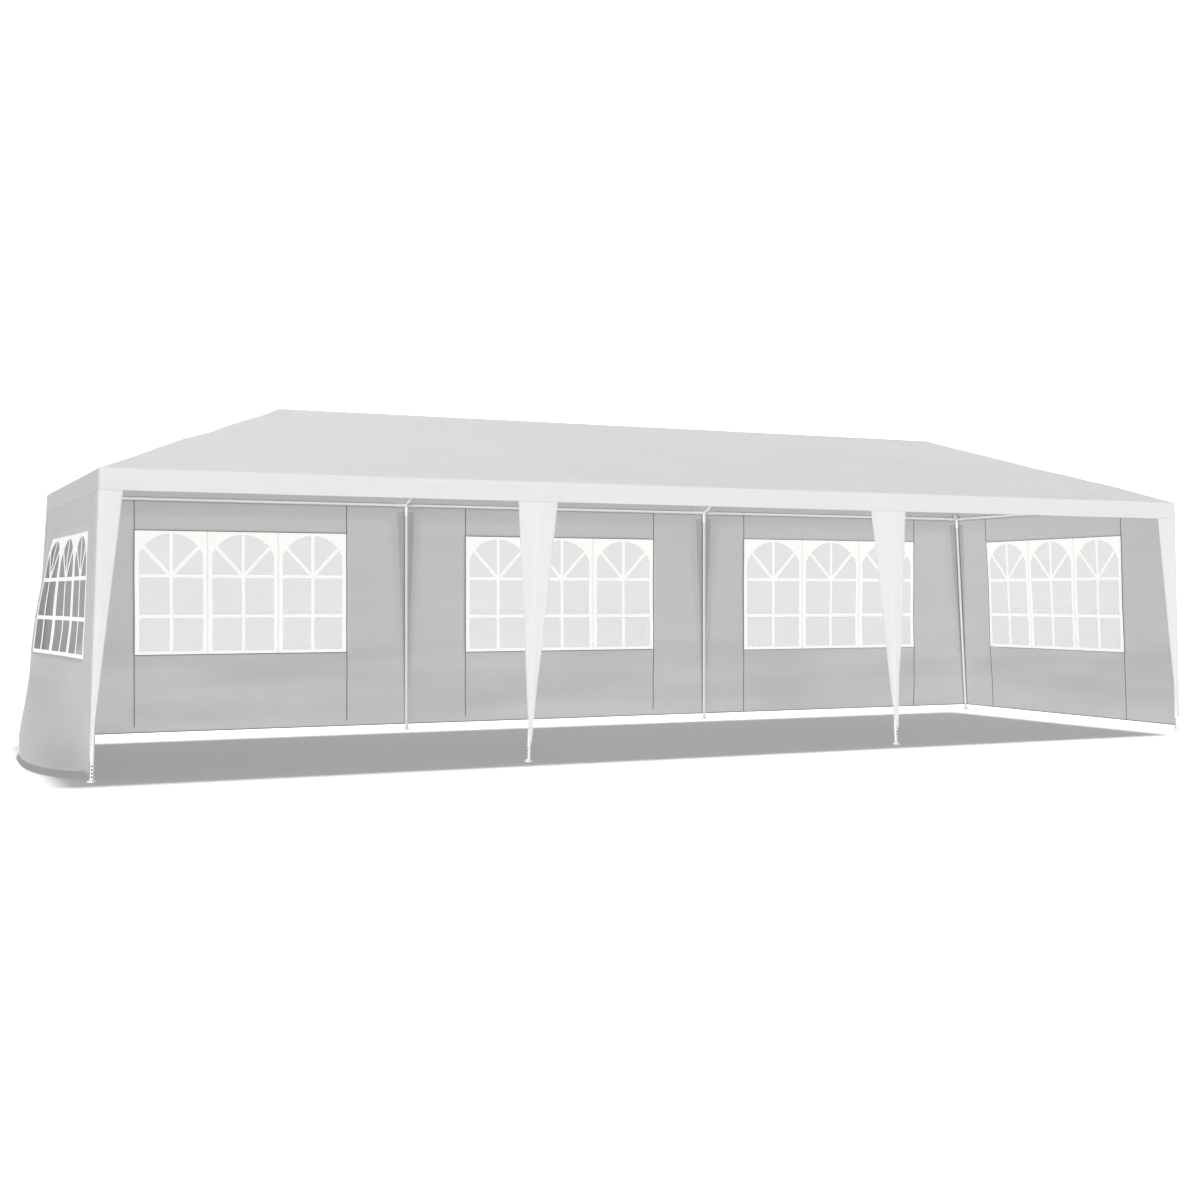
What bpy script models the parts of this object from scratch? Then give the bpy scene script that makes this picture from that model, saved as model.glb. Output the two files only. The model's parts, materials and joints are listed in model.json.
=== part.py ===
# A white party tent, 3 m wide and 9 m long: a hipped cloth roof over a frame of round steel
# tube, three walls along the back and one at each end, all with windows, and an open front.
# The origin is on the ground at the middle of the plan, and the open front faces -Y.

import math

import bmesh
import bpy
from mathutils import Vector

# Driving dimensions, in metres
BAY = 3.0
HALF_LENGTH = 1.5 * BAY
HALF_WIDTH = 1.5
EAVE_Z = 1.985
ROOF_SLOPE = 0.4
RIDGE_HALF = HALF_LENGTH - HALF_WIDTH
RIDGE_Z = EAVE_Z + ROOF_SLOPE * HALF_WIDTH
GAP = 0.0003

# The heads of the legs along X, and how far each foot stands outside its leg's head
HEADS = {"left": -HALF_LENGTH, "mid_left": -BAY / 2, "mid_right": BAY / 2, "right": HALF_LENGTH}
SPLAYS = {
    "front": {"left": 0.065, "mid_left": 0.07, "mid_right": 0.10, "right": 0.065},
    "rear": {"left": 0.12, "mid_left": 0.0, "mid_right": 0.0, "right": 0.12},
}

# Frame tube and its sleeves
SIDES = 12
TUBE_R = 0.013
SLEEVE_R = 0.0165
BALL_R = 0.016
SLEEVE_LENGTH = 0.095
BORE_START = 0.037
TUBE_START = 0.040
SLEEVE_OVERLAP = 0.002
SLEEVE_TWIST = math.radians(3.7)
BORE_MARGIN = 0.002
COLLAR_HALF = 0.06

# The welded foot, as height and radius, with the tube above it
FOOT_PROFILE = ((0.0, 0.031), (0.0035, 0.031), (0.0045, 0.0215), (0.012, 0.0165), (0.026, TUBE_R))

# Cloth, measured outwards from the tubes' axes
WALL_IN = SLEEVE_R + GAP
WALL_THICKNESS = 0.0025
SKIRT_IN = WALL_IN + WALL_THICKNESS + 0.002
CLOTH_THICKNESS = 0.003
SKIRT_OUT = SKIRT_IN + CLOTH_THICKNESS
WALL_BOTTOM = 0.05
VALANCE_HEIGHT = 0.138
STRIP_TIP_Z = 0.13
STRIP_HALF_TOPS = {"left": 0.14, "mid_left": 0.155, "mid_right": 0.165, "right": 0.18}
STRIP_HALF_TIP = 0.014
STRIP_ROWS = 4

# Windows, as the middle along the wall, the width, the bottom and the top
WINDOWS = {
    "rear_left": (-2.94, 1.80, 0.695, 1.725),
    "rear_middle": (0.01, 1.90, 0.68, 1.72),
    "rear_right": (2.96, 2.02, 0.66, 1.74),
    "left": (-0.23, 1.72, 0.765, 1.61),
    "right": (0.10, 1.92, 0.67, 1.73),
}
WINDOW_IN = WALL_IN + 0.0005
WINDOW_THICKNESS = 0.0015

# Heights that follow from the roof's slope
SLANT = math.sqrt(1 + ROOF_SLOPE**2)
ROOF_UNDER = RIDGE_Z + (SLEEVE_R + GAP) * SLANT
CLOTH_TOP = ROOF_UNDER - ROOF_SLOPE * (HALF_WIDTH + SKIRT_OUT) - GAP
VALANCE_BOTTOM = CLOTH_TOP - VALANCE_HEIGHT

SIDES_BY_NAME = {"left": -1, "right": 1}
ENDS_BY_NAME = {"front": -1, "rear": 1}


def clear_scene():
    for item in list(bpy.data.objects):
        bpy.data.objects.remove(item, do_unlink=True)


def material(name, colour, roughness, metallic=0.0, alpha=1.0):
    made = bpy.data.materials.new(name)
    made.use_nodes = True
    shader = made.node_tree.nodes["Principled BSDF"]
    shader.inputs["Base Color"].default_value = (*colour, 1.0)
    shader.inputs["Roughness"].default_value = roughness
    shader.inputs["Metallic"].default_value = metallic
    shader.inputs["Alpha"].default_value = alpha
    return made


def add_object(name, mesh, coat=None):
    made = bpy.data.objects.new(name, mesh)
    bpy.context.scene.collection.objects.link(made)
    if coat:
        mesh.materials.append(coat)
    return made


def ring(centre, radius, across, along, twist=0.0):
    # Points at equal angles round a centre, in the plane of two unit vectors.
    turns = [twist + 2 * math.pi * step / SIDES for step in range(SIDES)]
    return [centre + radius * (math.cos(turn) * across + math.sin(turn) * along) for turn in turns]


def skin(name, rings, coat=None):
    # A closed round body through a row of rings, with flat ends.
    shape = bmesh.new()
    loops = [[shape.verts.new(point) for point in points] for points in rings]
    for lower, upper in zip(loops, loops[1:]):
        for step in range(SIDES):
            after = (step + 1) % SIDES
            shape.faces.new((lower[step], lower[after], upper[after], upper[step]))
    shape.faces.new(loops[0])
    shape.faces.new(loops[-1])
    bmesh.ops.recalc_face_normals(shape, faces=shape.faces)
    mesh = bpy.data.meshes.new(name)
    shape.to_mesh(mesh)
    shape.free()
    mesh.shade_smooth()
    mesh.set_sharp_from_angle(angle=math.radians(40))
    return add_object(name, mesh, coat)


def rod(name, start, end, radius, coat=None, twist=0.0):
    # A straight round bar between two points.
    direction = (end - start).normalized()
    across = direction.cross(Vector((0, 0, 1))).normalized()
    along = direction.cross(across)
    return skin(name, [ring(point, radius, across, along, twist) for point in (start, end)], coat)


def post(name, foot_line, profile, coat=None, twist=0.0):
    # An upright round body whose level rings follow a leaning line.
    level = (Vector((1, 0, 0)), Vector((0, 1, 0)))
    rings = [ring(foot_line(z), radius, *level, twist) for z, radius in profile]
    return skin(name, rings, coat)


def combine(target, tool, operation):
    # Joins a tool to the target, or cuts it out.
    tool.hide_render = True
    tool.display_type = "WIRE"
    step = target.modifiers.new(tool.name, "BOOLEAN")
    step.operation = operation
    step.solver = "EXACT"
    step.object = tool


def split(cells):
    # Triangles, so that both sides of a twisted sheet bend along the same lines.
    halves = []
    for first, *others in cells:
        halves += [[first, second, third] for second, third in zip(others, others[1:])]
    return halves


def sheet(name, cells, place, thickness, coat):
    # A closed flat body from cells that share corners. The place function turns a corner and
    # a depth into a point, and each edge that belongs to one triangle gets a side face.
    shape = bmesh.new()
    corners = {}

    def vertex(corner, depth):
        key = (round(corner[0], 5), round(corner[1], 5), depth)
        if key not in corners:
            corners[key] = shape.verts.new(place(corner[0], corner[1], depth))
        return corners[key]

    edges = {}
    for half in split(cells):
        shape.faces.new([vertex(corner, thickness) for corner in half])
        shape.faces.new([vertex(corner, 0.0) for corner in reversed(half)])
        for first, second in zip(half, half[1:] + half[:1]):
            ends = frozenset((vertex(first, 0.0), vertex(second, 0.0)))
            edges.setdefault(ends, []).append((first, second))
    for sides in edges.values():
        if len(sides) == 1:
            first, second = sides[0]
            loop = [vertex(first, 0.0), vertex(second, 0.0)]
            loop += [vertex(second, thickness), vertex(first, thickness)]
            shape.faces.new(loop)
    if shape.calc_volume(signed=True) < 0:
        bmesh.ops.reverse_faces(shape, faces=shape.faces)
    mesh = bpy.data.meshes.new(name)
    shape.to_mesh(mesh)
    shape.free()
    return add_object(name, mesh, coat)


def drop(z):
    # 0 at the eave and 1 on the ground.
    return (EAVE_Z - z) / EAVE_Z


def leg_x(row_name, head_name, z):
    # Where a leg's axis is at a height: its head, moved outwards as it goes down.
    head = HEADS[head_name]
    return head + math.copysign(SPLAYS[row_name][head_name], head) * drop(z)


def leg_line(row_name, head_name):
    y = ENDS_BY_NAME[row_name] * HALF_WIDTH
    return lambda z: Vector((leg_x(row_name, head_name, z), y, z))


def add_leg(row_name, head_name, steel):
    # A tube welded to a round foot, up into its sleeve at the eave.
    profile = FOOT_PROFILE + ((EAVE_Z - TUBE_START, TUBE_R),)
    post(f"leg_{row_name}_{head_name}", leg_line(row_name, head_name), profile, steel)


def add_sleeve(target, centre, direction):
    # A sleeve on the target for a tube that leaves in a direction. Each is turned a little
    # more than the last, so that no two meet edge to edge.
    way = direction.normalized()
    count = len(target.modifiers)
    tag = f"{target.name}_{count}"
    start = centre - way * SLEEVE_OVERLAP
    end = centre + way * SLEEVE_LENGTH
    outer = rod(tag + "_sleeve", start, end, SLEEVE_R, twist=SLEEVE_TWIST * (count + 1))
    combine(target, outer, "UNION")
    mouth = centre + way * (SLEEVE_LENGTH + BORE_MARGIN)
    bore = rod(tag + "_bore", centre + way * BORE_START, mouth, TUBE_R + GAP)
    return bore


def add_leg_sleeve(target, row_name, head_name):
    # The same for the leaning leg below.
    line = leg_line(row_name, head_name)
    tag = f"{target.name}_{len(target.modifiers)}"
    low = EAVE_Z - SLEEVE_LENGTH
    profile = ((low, SLEEVE_R), (EAVE_Z + SLEEVE_OVERLAP, SLEEVE_R))
    outer = post(tag + "_leg_sleeve", line, profile, twist=SLEEVE_TWIST / 2)
    combine(target, outer, "UNION")
    bore_ends = (low - BORE_MARGIN, EAVE_Z - BORE_START)
    return post(tag + "_leg_bore", line, [(z, TUBE_R + GAP) for z in bore_ends])


def ball(name, centre, coat=None):
    # The welded middle of a joint.
    shape = bmesh.new()
    bmesh.ops.create_icosphere(shape, subdivisions=2, radius=BALL_R)
    bmesh.ops.translate(shape, verts=shape.verts, vec=centre)
    mesh = bpy.data.meshes.new(name)
    shape.to_mesh(mesh)
    shape.free()
    return add_object(name, mesh, coat)


def cut_bores(target, bores):
    for bore in bores:
        combine(target, bore, "DIFFERENCE")


def add_corner(row_name, side_name, steel):
    # A four-way joint: two eave rails, the hip rafter and the leg.
    row, side = ENDS_BY_NAME[row_name], SIDES_BY_NAME[side_name]
    centre = Vector((side * HALF_LENGTH, row * HALF_WIDTH, EAVE_Z))
    joint = ball(f"corner_joint_{row_name}_{side_name}", centre, steel)
    ways = ((-side, 0, 0), (0, -row, 0), (-side, -row, ROOF_SLOPE))
    bores = [add_sleeve(joint, centre, Vector(way)) for way in ways]
    bores.append(add_leg_sleeve(joint, row_name, side_name))
    cut_bores(joint, bores)


def add_collar(target, centre):
    along = Vector((COLLAR_HALF, 0, 0))
    tag = f"{target.name}_{len(target.modifiers)}_collar"
    combine(target, rod(tag, centre - along, centre + along, SLEEVE_R), "UNION")


def add_long_eave(row_name, steel):
    # Three tubes in line, joined over the two middle legs, where the rafters start.
    row = ENDS_BY_NAME[row_name]
    start = Vector((-HALF_LENGTH + TUBE_START, row * HALF_WIDTH, EAVE_Z))
    end = Vector((HALF_LENGTH - TUBE_START, row * HALF_WIDTH, EAVE_Z))
    rail = rod(f"eave_rail_{row_name}", start, end, TUBE_R, steel)
    bores = []
    for head_name in ("mid_left", "mid_right"):
        centre = Vector((HEADS[head_name], row * HALF_WIDTH, EAVE_Z))
        add_collar(rail, centre)
        bores.append(add_sleeve(rail, centre, Vector((0, -row, ROOF_SLOPE))))
        bores.append(add_leg_sleeve(rail, row_name, head_name))
    cut_bores(rail, bores)


def add_end_eave(name, side, steel):
    reach = HALF_WIDTH - TUBE_START
    start = Vector((side * HALF_LENGTH, -reach, EAVE_Z))
    end = Vector((side * HALF_LENGTH, reach, EAVE_Z))
    rod(name, start, end, TUBE_R, steel)


def add_ridge(name, steel):
    # The ridge tube, with two rafter sleeves over each inner pair of legs and two hip
    # sleeves at each end.
    start = Vector((-RIDGE_HALF, 0, RIDGE_Z))
    end = Vector((RIDGE_HALF, 0, RIDGE_Z))
    rail = rod(name, start, end, TUBE_R, steel)
    bores = []
    for side in (-1, 1):
        inner = Vector((side * BAY / 2, 0, RIDGE_Z))
        outer = Vector((side * RIDGE_HALF, 0, RIDGE_Z))
        add_collar(rail, inner)
        combine(rail, ball(f"{name}_ball_{side}", outer), "UNION")
        for row in (-1, 1):
            bores.append(add_sleeve(rail, inner, Vector((0, row, -ROOF_SLOPE))))
            bores.append(add_sleeve(rail, outer, Vector((side, row, -ROOF_SLOPE))))
    cut_bores(rail, bores)


def add_rafter(name, eave, ridge, steel):
    # A tube between two joints, short of each centre.
    way = (ridge - eave).normalized() * TUBE_START
    rod(name, eave + way, ridge - way, TUBE_R, steel)


def roof_place(x, y, depth):
    # The cloth lies on planes of one slope that meet at the ridge and the hips.
    fall = max(abs(y), abs(x) - RIDGE_HALF) * ROOF_SLOPE
    return Vector((x, y, ROOF_UNDER - fall + depth * SLANT))


def add_roof(cloth):
    far_x = HALF_LENGTH + SKIRT_OUT
    far_y = HALF_WIDTH + SKIRT_OUT
    seam = GAP / 2
    for name, row in ENDS_BY_NAME.items():
        near = (RIDGE_HALF - seam, row * seam)
        far = (far_x - 2 * seam, row * far_y)
        cell = [(-far[0], far[1]), far, near, (-near[0], near[1])]
        sheet(f"roof_{name}", [cell], roof_place, CLOTH_THICKNESS, cloth)
    for name, side in SIDES_BY_NAME.items():
        peak = (side * (RIDGE_HALF + 2 * seam), 0.0)
        reach = far_y - 2 * seam
        cell = [(side * far_x, -reach), (side * far_x, reach), peak]
        sheet(f"roof_{name}", [cell], roof_place, CLOTH_THICKNESS, cloth)


def strip_half(head_name, z):
    # A leg strip's half width, from the valance down to its tip.
    share = (z - STRIP_TIP_Z) / (VALANCE_BOTTOM - STRIP_TIP_Z)
    return STRIP_HALF_TIP + (STRIP_HALF_TOPS[head_name] - STRIP_HALF_TIP) * share


def strip_cells(left, right):
    # Cells from the valance's lower edge to the tip, between two edges.
    step = (VALANCE_BOTTOM - STRIP_TIP_Z) / STRIP_ROWS
    levels = [VALANCE_BOTTOM - step * row for row in range(STRIP_ROWS + 1)]
    cells = []
    for high, low in zip(levels, levels[1:]):
        cells.append([(left(high), high), (right(high), high), (right(low), low), (left(low), low)])
    return cells


def skirt_cells(strips):
    # The valance, split where its strips start, with the strips below it.
    tops = [edge(VALANCE_BOTTOM) for strip in strips for edge in strip]
    first, last = strips[0][0], strips[-1][1]
    high = [first(CLOTH_TOP), *tops[1:-1], last(CLOTH_TOP)]
    cells = []
    for step in range(len(tops) - 1):
        lower = [(tops[step + 1], VALANCE_BOTTOM), (tops[step], VALANCE_BOTTOM)]
        cells.append([(high[step], CLOTH_TOP), (high[step + 1], CLOTH_TOP)] + lower)
    for left, right in strips:
        cells += strip_cells(left, right)
    return cells


def add_long_skirt(row_name, cloth):
    # The valance along the front or the back, with a strip down each of its four legs.
    row = ENDS_BY_NAME[row_name]

    def edge(head_name, way):
        return lambda z: leg_x(row_name, head_name, z) + way * strip_half(head_name, z)

    def end(side_name):
        return lambda z: leg_x(row_name, side_name, z) + SIDES_BY_NAME[side_name] * SKIRT_OUT

    strips = [
        (end("left"), edge("left", 1)),
        (edge("mid_left", -1), edge("mid_left", 1)),
        (edge("mid_right", -1), edge("mid_right", 1)),
        (edge("right", -1), end("right")),
    ]

    def place(x, z, depth):
        return Vector((x, row * (HALF_WIDTH + SKIRT_IN + depth), z))

    sheet(f"valance_{row_name}", skirt_cells(strips), place, CLOTH_THICKNESS, cloth)


def end_place(side_name, offset):
    # Points on an end of the tent, which leans out with its two corner legs.
    front, rear = SPLAYS["front"][side_name], SPLAYS["rear"][side_name]

    def place(y, z, depth):
        lean = front + (rear - front) * (y + HALF_WIDTH) / (2 * HALF_WIDTH)
        out = HALF_LENGTH + offset + depth + lean * drop(z)
        return Vector((SIDES_BY_NAME[side_name] * out, y, z))

    return place


def add_end_skirt(side_name, cloth):
    # The valance over an end wall, with half of each corner's strip.
    reach = HALF_WIDTH + SKIRT_IN - GAP
    strips = [
        (lambda z: -reach, lambda z: strip_half(side_name, z) - HALF_WIDTH),
        (lambda z: HALF_WIDTH - strip_half(side_name, z), lambda z: reach),
    ]
    place = end_place(side_name, SKIRT_IN)
    sheet(f"valance_{side_name}", skirt_cells(strips), place, CLOTH_THICKNESS, cloth)


def wall_cells(left, right, window):
    # The cells round a window. The edges are functions of the height.
    middle, width, bottom, top = window
    levels = (WALL_BOTTOM, (WALL_BOTTOM + bottom) / 2, bottom, (bottom + top) / 2, top, CLOTH_TOP)
    near, far = middle - width / 2, middle + width / 2
    cells = []
    for low, high in zip(levels, levels[1:]):
        lows = (left(low), near, far, right(low))
        highs = (left(high), near, far, right(high))
        for column in range(3):
            if column == 1 and bottom <= low < top:
                continue
            lower = [(lows[column], low), (lows[column + 1], low)]
            upper = [(highs[column + 1], high), (highs[column], high)]
            cells.append(lower + upper)
    return cells


def window_cell(window):
    middle, width, bottom, top = window
    near, far = middle - width / 2 + GAP, middle + width / 2 - GAP
    low, high = bottom + GAP, top - GAP
    return [(near, low), (far, low), (far, high), (near, high)]


def rear_place(offset):
    return lambda x, z, depth: Vector((x, HALF_WIDTH + offset + depth, z))


def add_rear_walls(cloth, clear):
    def corner(side_name):
        out = SIDES_BY_NAME[side_name] * (WALL_IN - GAP)
        return lambda z: leg_x("rear", side_name, z) + out

    def seam(x):
        return lambda z: x

    half = BAY / 2
    edges = {
        "rear_left": (corner("left"), seam(-half - GAP / 2)),
        "rear_middle": (seam(-half + GAP / 2), seam(half - GAP / 2)),
        "rear_right": (seam(half + GAP / 2), corner("right")),
    }
    for name, (left, right) in edges.items():
        cells = wall_cells(left, right, WINDOWS[name])
        sheet(f"wall_{name}", cells, rear_place(WALL_IN), WALL_THICKNESS, cloth)
        pane = [window_cell(WINDOWS[name])]
        sheet(f"window_{name}", pane, rear_place(WINDOW_IN), WINDOW_THICKNESS, clear)


def add_end_walls(cloth, clear):
    reach = HALF_WIDTH + WALL_IN + WALL_THICKNESS
    for name in SIDES_BY_NAME:
        cells = wall_cells(lambda z: -reach, lambda z: reach, WINDOWS[name])
        sheet(f"wall_{name}", cells, end_place(name, WALL_IN), WALL_THICKNESS, cloth)
        pane = [window_cell(WINDOWS[name])]
        sheet(f"window_{name}", pane, end_place(name, WINDOW_IN), WINDOW_THICKNESS, clear)


def add_frame():
    leg_steel = material("leg_steel", (0.86, 0.86, 0.87), 0.35)
    joint_steel = material("joint_steel", (0.82, 0.82, 0.83), 0.4)
    rail_steel = material("rail_steel", (0.84, 0.84, 0.85), 0.38)
    for row_name, row in ENDS_BY_NAME.items():
        for head_name in HEADS:
            add_leg(row_name, head_name, leg_steel)
        add_long_eave(row_name, rail_steel)
        for side_name, side in SIDES_BY_NAME.items():
            place = f"{row_name}_{side_name}"
            add_corner(row_name, side_name, joint_steel)
            corner = Vector((side * HALF_LENGTH, row * HALF_WIDTH, EAVE_Z))
            peak = Vector((side * RIDGE_HALF, 0, RIDGE_Z))
            add_rafter(f"hip_rafter_{place}", corner, peak, rail_steel)
            eave = Vector((side * BAY / 2, row * HALF_WIDTH, EAVE_Z))
            ridge = Vector((side * BAY / 2, 0, RIDGE_Z))
            add_rafter(f"rafter_{place}", eave, ridge, rail_steel)
    for side_name, side in SIDES_BY_NAME.items():
        add_end_eave(f"eave_rail_{side_name}", side, rail_steel)
    add_ridge("ridge_rail", rail_steel)


def add_cloth():
    roof_cloth = material("roof_cloth", (0.80, 0.80, 0.81), 0.6)
    skirt_cloth = material("skirt_cloth", (0.84, 0.84, 0.85), 0.6)
    wall_cloth = material("wall_cloth", (0.70, 0.70, 0.71), 0.6)
    clear_sheet = material("clear_sheet", (0.80, 0.82, 0.83), 0.1, alpha=0.5)
    add_roof(roof_cloth)
    for row_name in ENDS_BY_NAME:
        add_long_skirt(row_name, skirt_cloth)
    for side_name in SIDES_BY_NAME:
        add_end_skirt(side_name, skirt_cloth)
    add_rear_walls(wall_cloth, clear_sheet)
    add_end_walls(wall_cloth, clear_sheet)


clear_scene()
add_frame()
add_cloth()
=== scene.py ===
import json
from math import atan2, cos, pi, radians, sin, sqrt

import bmesh
import bpy
import numpy as np
from mathutils import Matrix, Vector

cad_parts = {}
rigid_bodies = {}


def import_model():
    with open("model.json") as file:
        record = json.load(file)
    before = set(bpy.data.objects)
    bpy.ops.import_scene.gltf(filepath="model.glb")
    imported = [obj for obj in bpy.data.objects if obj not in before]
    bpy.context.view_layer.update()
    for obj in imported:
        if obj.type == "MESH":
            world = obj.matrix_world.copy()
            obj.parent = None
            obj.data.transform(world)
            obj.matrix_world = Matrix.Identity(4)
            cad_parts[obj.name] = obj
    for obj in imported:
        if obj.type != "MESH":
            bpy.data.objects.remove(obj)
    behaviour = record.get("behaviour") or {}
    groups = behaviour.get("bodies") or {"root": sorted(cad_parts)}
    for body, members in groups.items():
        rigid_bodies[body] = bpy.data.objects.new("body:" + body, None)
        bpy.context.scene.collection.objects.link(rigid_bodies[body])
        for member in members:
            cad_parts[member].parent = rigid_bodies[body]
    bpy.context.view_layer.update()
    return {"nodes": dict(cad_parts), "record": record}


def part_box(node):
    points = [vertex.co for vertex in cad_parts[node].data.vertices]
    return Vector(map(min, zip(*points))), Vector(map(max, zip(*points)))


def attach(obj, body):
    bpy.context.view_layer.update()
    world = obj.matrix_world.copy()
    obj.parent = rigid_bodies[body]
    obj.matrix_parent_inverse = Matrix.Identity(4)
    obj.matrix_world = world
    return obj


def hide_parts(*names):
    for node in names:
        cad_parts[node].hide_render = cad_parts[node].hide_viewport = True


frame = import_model()
scene = bpy.context.scene
print("frame loaded:", len(frame["nodes"]), "nodes")

# The tent's own lines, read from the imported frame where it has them.
railLow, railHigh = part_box("eave_rail_left")
feet = {m["name"][5:]: m["pos_m"] for m in frame["record"]["mounts"]}
tent = {
    "halfLength": -(railLow.x + railHigh.x) / 2,
    "halfWidth": 1.5,
    "bay": 3.0,
    "eaveZ": (railLow.z + railHigh.z) / 2,
    "slope": 0.4,
    "tubeRadius": 0.013,
    "sleeveRadius": 0.0165,
    "wallIn": 0.0168,  # from the tubes' axes out to the walls' inner face
    "skirtOut": 0.0243,  # and to the valance's outer face
    "clothTop": 1.985,
    "valanceBottom": 1.855,
    "wallBottom": 0.05,
}
halfLength, halfWidth, eaveZ = tent["halfLength"], tent["halfWidth"], tent["eaveZ"]
ridgeHalf = halfLength - halfWidth
ridgeZ = eaveZ + tent["slope"] * halfWidth
slant = sqrt(1 + tent["slope"] ** 2)
halfBay = tent["bay"] / 2
heads = {"left": -halfLength, "mid_left": -halfBay, "mid_right": halfBay, "right": halfLength}
rowSigns = {"front": -1, "rear": 1}
sideSigns = {"left": -1, "right": 1}


def legX(place, z):
    # A leg's axis runs straight from its foot on the ground to its head at the eave.
    foot, head = feet[place][0], heads[place.split("_", 1)[1]]
    return foot + (head - foot) * z / eaveZ


def endLean(y):
    # How far an end leans out at the ground, shared between its front and its rear leg.
    front, rear = (abs(feet[place][0]) - halfLength for place in ("front_right", "rear_right"))
    share = np.clip((y + halfWidth) / (2 * halfWidth), 0, 1)
    return front + (rear - front) * share


def drop(z):
    return (eaveZ - z) / eaveZ


def ease(x):
    # 0 to 1 with flat ends.
    x = np.clip(x, 0, 1)
    return x * x * (3 - 2 * x)


def stacked(*values):
    # Arrays over one grid, side by side along a last axis.
    return np.stack(np.broadcast_arrays(*values), axis=-1)


def ripple(a, b, seed, length, count=7):
    # A sum of plane waves whose directions, phases and lengths are seeded, about -1 to 1.
    rng = np.random.default_rng(seed)
    total = np.zeros(np.broadcast(a, b).shape)
    for angle, phase, size in rng.uniform((0, 0, 0.7), (pi, 2 * pi, 1.6), (count, 3)):
        total += np.sin(2 * pi * (a * cos(angle) + b * sin(angle)) / (length * size) + phase)
    return total / sqrt(count)


def gridFaces(rows, columns, closed=False, keep=None):
    # The corner numbers of every cell of a grid that is stored row by row.
    row = np.arange(rows - 1)[:, None] * columns
    column = np.arange(columns if closed else columns - 1)[None, :]
    after, below = (column + 1) % columns, row + columns
    cells = stacked(row + column, row + after, below + after, below + column)
    return cells.reshape(-1, 4) if keep is None else cells[keep]


def turnedOut(points, cells, faces):
    # The faces, all turned round if they look inwards: the sum of each cell's normal times the
    # way to it from the body's middle has the sign of the volume.
    spokes = points[cells] - points.mean(axis=0)
    normals = np.cross(spokes[:, 2] - spokes[:, 0], spokes[:, 3] - spokes[:, 1])
    inward = (normals * spokes.mean(axis=1)).sum() < 0
    return [face[::-1] for face in faces] if inward else faces


def ringBody(rings):
    # A closed body through rings of points, with a flat face on its first and last ring.
    count, corners = rings.shape[:2]
    points, cells = rings.reshape(-1, 3), gridFaces(count, corners, closed=True)
    first, last = np.arange(corners), np.arange(corners) + (count - 1) * corners
    return points, turnedOut(points, cells, [*cells.tolist(), first[::-1], last])


def roundBody(start, way, profile, sides, level=False):
    # A body round a straight axis: distance along it and radius come from the profile.
    profile, way = np.asarray(profile, float), np.asarray(way, float)
    if level:  # the rings stay level on a leaning axis
        across, along = np.array([1.0, 0, 0]), np.array([0, 1.0, 0])
    else:
        way = way / np.linalg.norm(way)
        across = np.cross(way, (0, 0, 1.0) if abs(way[2]) < 0.9 else (1.0, 0, 0))
        across /= np.linalg.norm(across)
        along = np.cross(way, across)
    turn = np.linspace(0, 2 * pi, sides, endpoint=False)
    spoke = np.cos(turn)[:, None] * across + np.sin(turn)[:, None] * along
    centres = np.asarray(start, float) + profile[:, :1] * way
    return ringBody(centres[:, None, :] + profile[:, 1][:, None, None] * spoke)


def putMesh(name, parts, uvs=None, smooth=True, sharp=None):
    # One mesh from (points, faces) pairs; uvs gives each layer's values point by point.
    points, faces, start = [], [], 0
    for partPoints, partFaces in parts:
        flat = np.asarray(partPoints, float).reshape(-1, 3)
        points.append(flat)
        faces += [[int(corner) + start for corner in face] for face in partFaces]
        start += len(flat)
    mesh = bpy.data.meshes.new(name)
    mesh.from_pydata(np.vstack(points).tolist(), [], faces)
    corner = np.empty(len(mesh.loops), np.int32)
    mesh.loops.foreach_get("vertex_index", corner)
    for layer, values in (uvs or {}).items():
        made = mesh.uv_layers.new(name=layer)
        made.data.foreach_set("uv", np.asarray(values).reshape(-1, 2)[corner].ravel())
    mesh.polygons.foreach_set("use_smooth", np.full(len(mesh.polygons), smooth))
    if sharp:
        mesh.set_sharp_from_angle(angle=radians(sharp))
    mesh.update()
    return mesh


def mend(mesh, step):
    # Runs one bmesh step on a finished mesh.
    shape = bmesh.new()
    shape.from_mesh(mesh)
    step(shape)
    shape.to_mesh(mesh)
    shape.free()


def weld(shape):
    bmesh.ops.remove_doubles(shape, verts=shape.verts, dist=0.00002)


def looseEnds(shape):
    # Points that no cell uses, such as those inside a window's rectangle, are taken out.
    bmesh.ops.delete(shape, geom=[v for v in shape.verts if not v.link_faces], context="VERTS")


def faceVectors(mesh, key):
    # Each face's middle or normal, by the name that the mesh has for it.
    values = np.empty(len(mesh.polygons) * 3)
    mesh.polygons.foreach_get(key, values)
    return values.reshape(-1, 3)


def turnOut(mesh):
    # Turns an open sheet's faces so that they point away from the middle of the tent.
    away = (faceVectors(mesh, "center") - (0, 0, 1.0)) * faceVectors(mesh, "normal")
    if away.sum() < 0:
        mesh.flip_normals()


def addPiece(name, mesh, finish, slot, stands=()):
    # A finished piece sits at the origin and rides on the tent's one body.
    piece = bpy.data.objects.new(name, mesh)
    scene.collection.objects.link(piece)
    mesh.materials.append(finish)
    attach(piece, "root")
    if stands:
        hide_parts(*stands)
    return piece


def thicken(piece, thickness, offset=0.0):
    step = piece.modifiers.new("cloth", "SOLIDIFY")
    step.thickness = thickness
    step.offset = offset
    step.use_quality_normals = True


def sheetPiece(name, points, maps, thickness, *looks, keep=None):
    # An open sheet on a grid of points, with its faces outwards and its thickness.
    mesh = putMesh(name, [(points, gridFaces(*points.shape[:2], keep=keep))], maps)
    turnOut(mesh)
    piece = addPiece(name, mesh, *looks)
    thicken(piece, thickness)
    return piece


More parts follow.
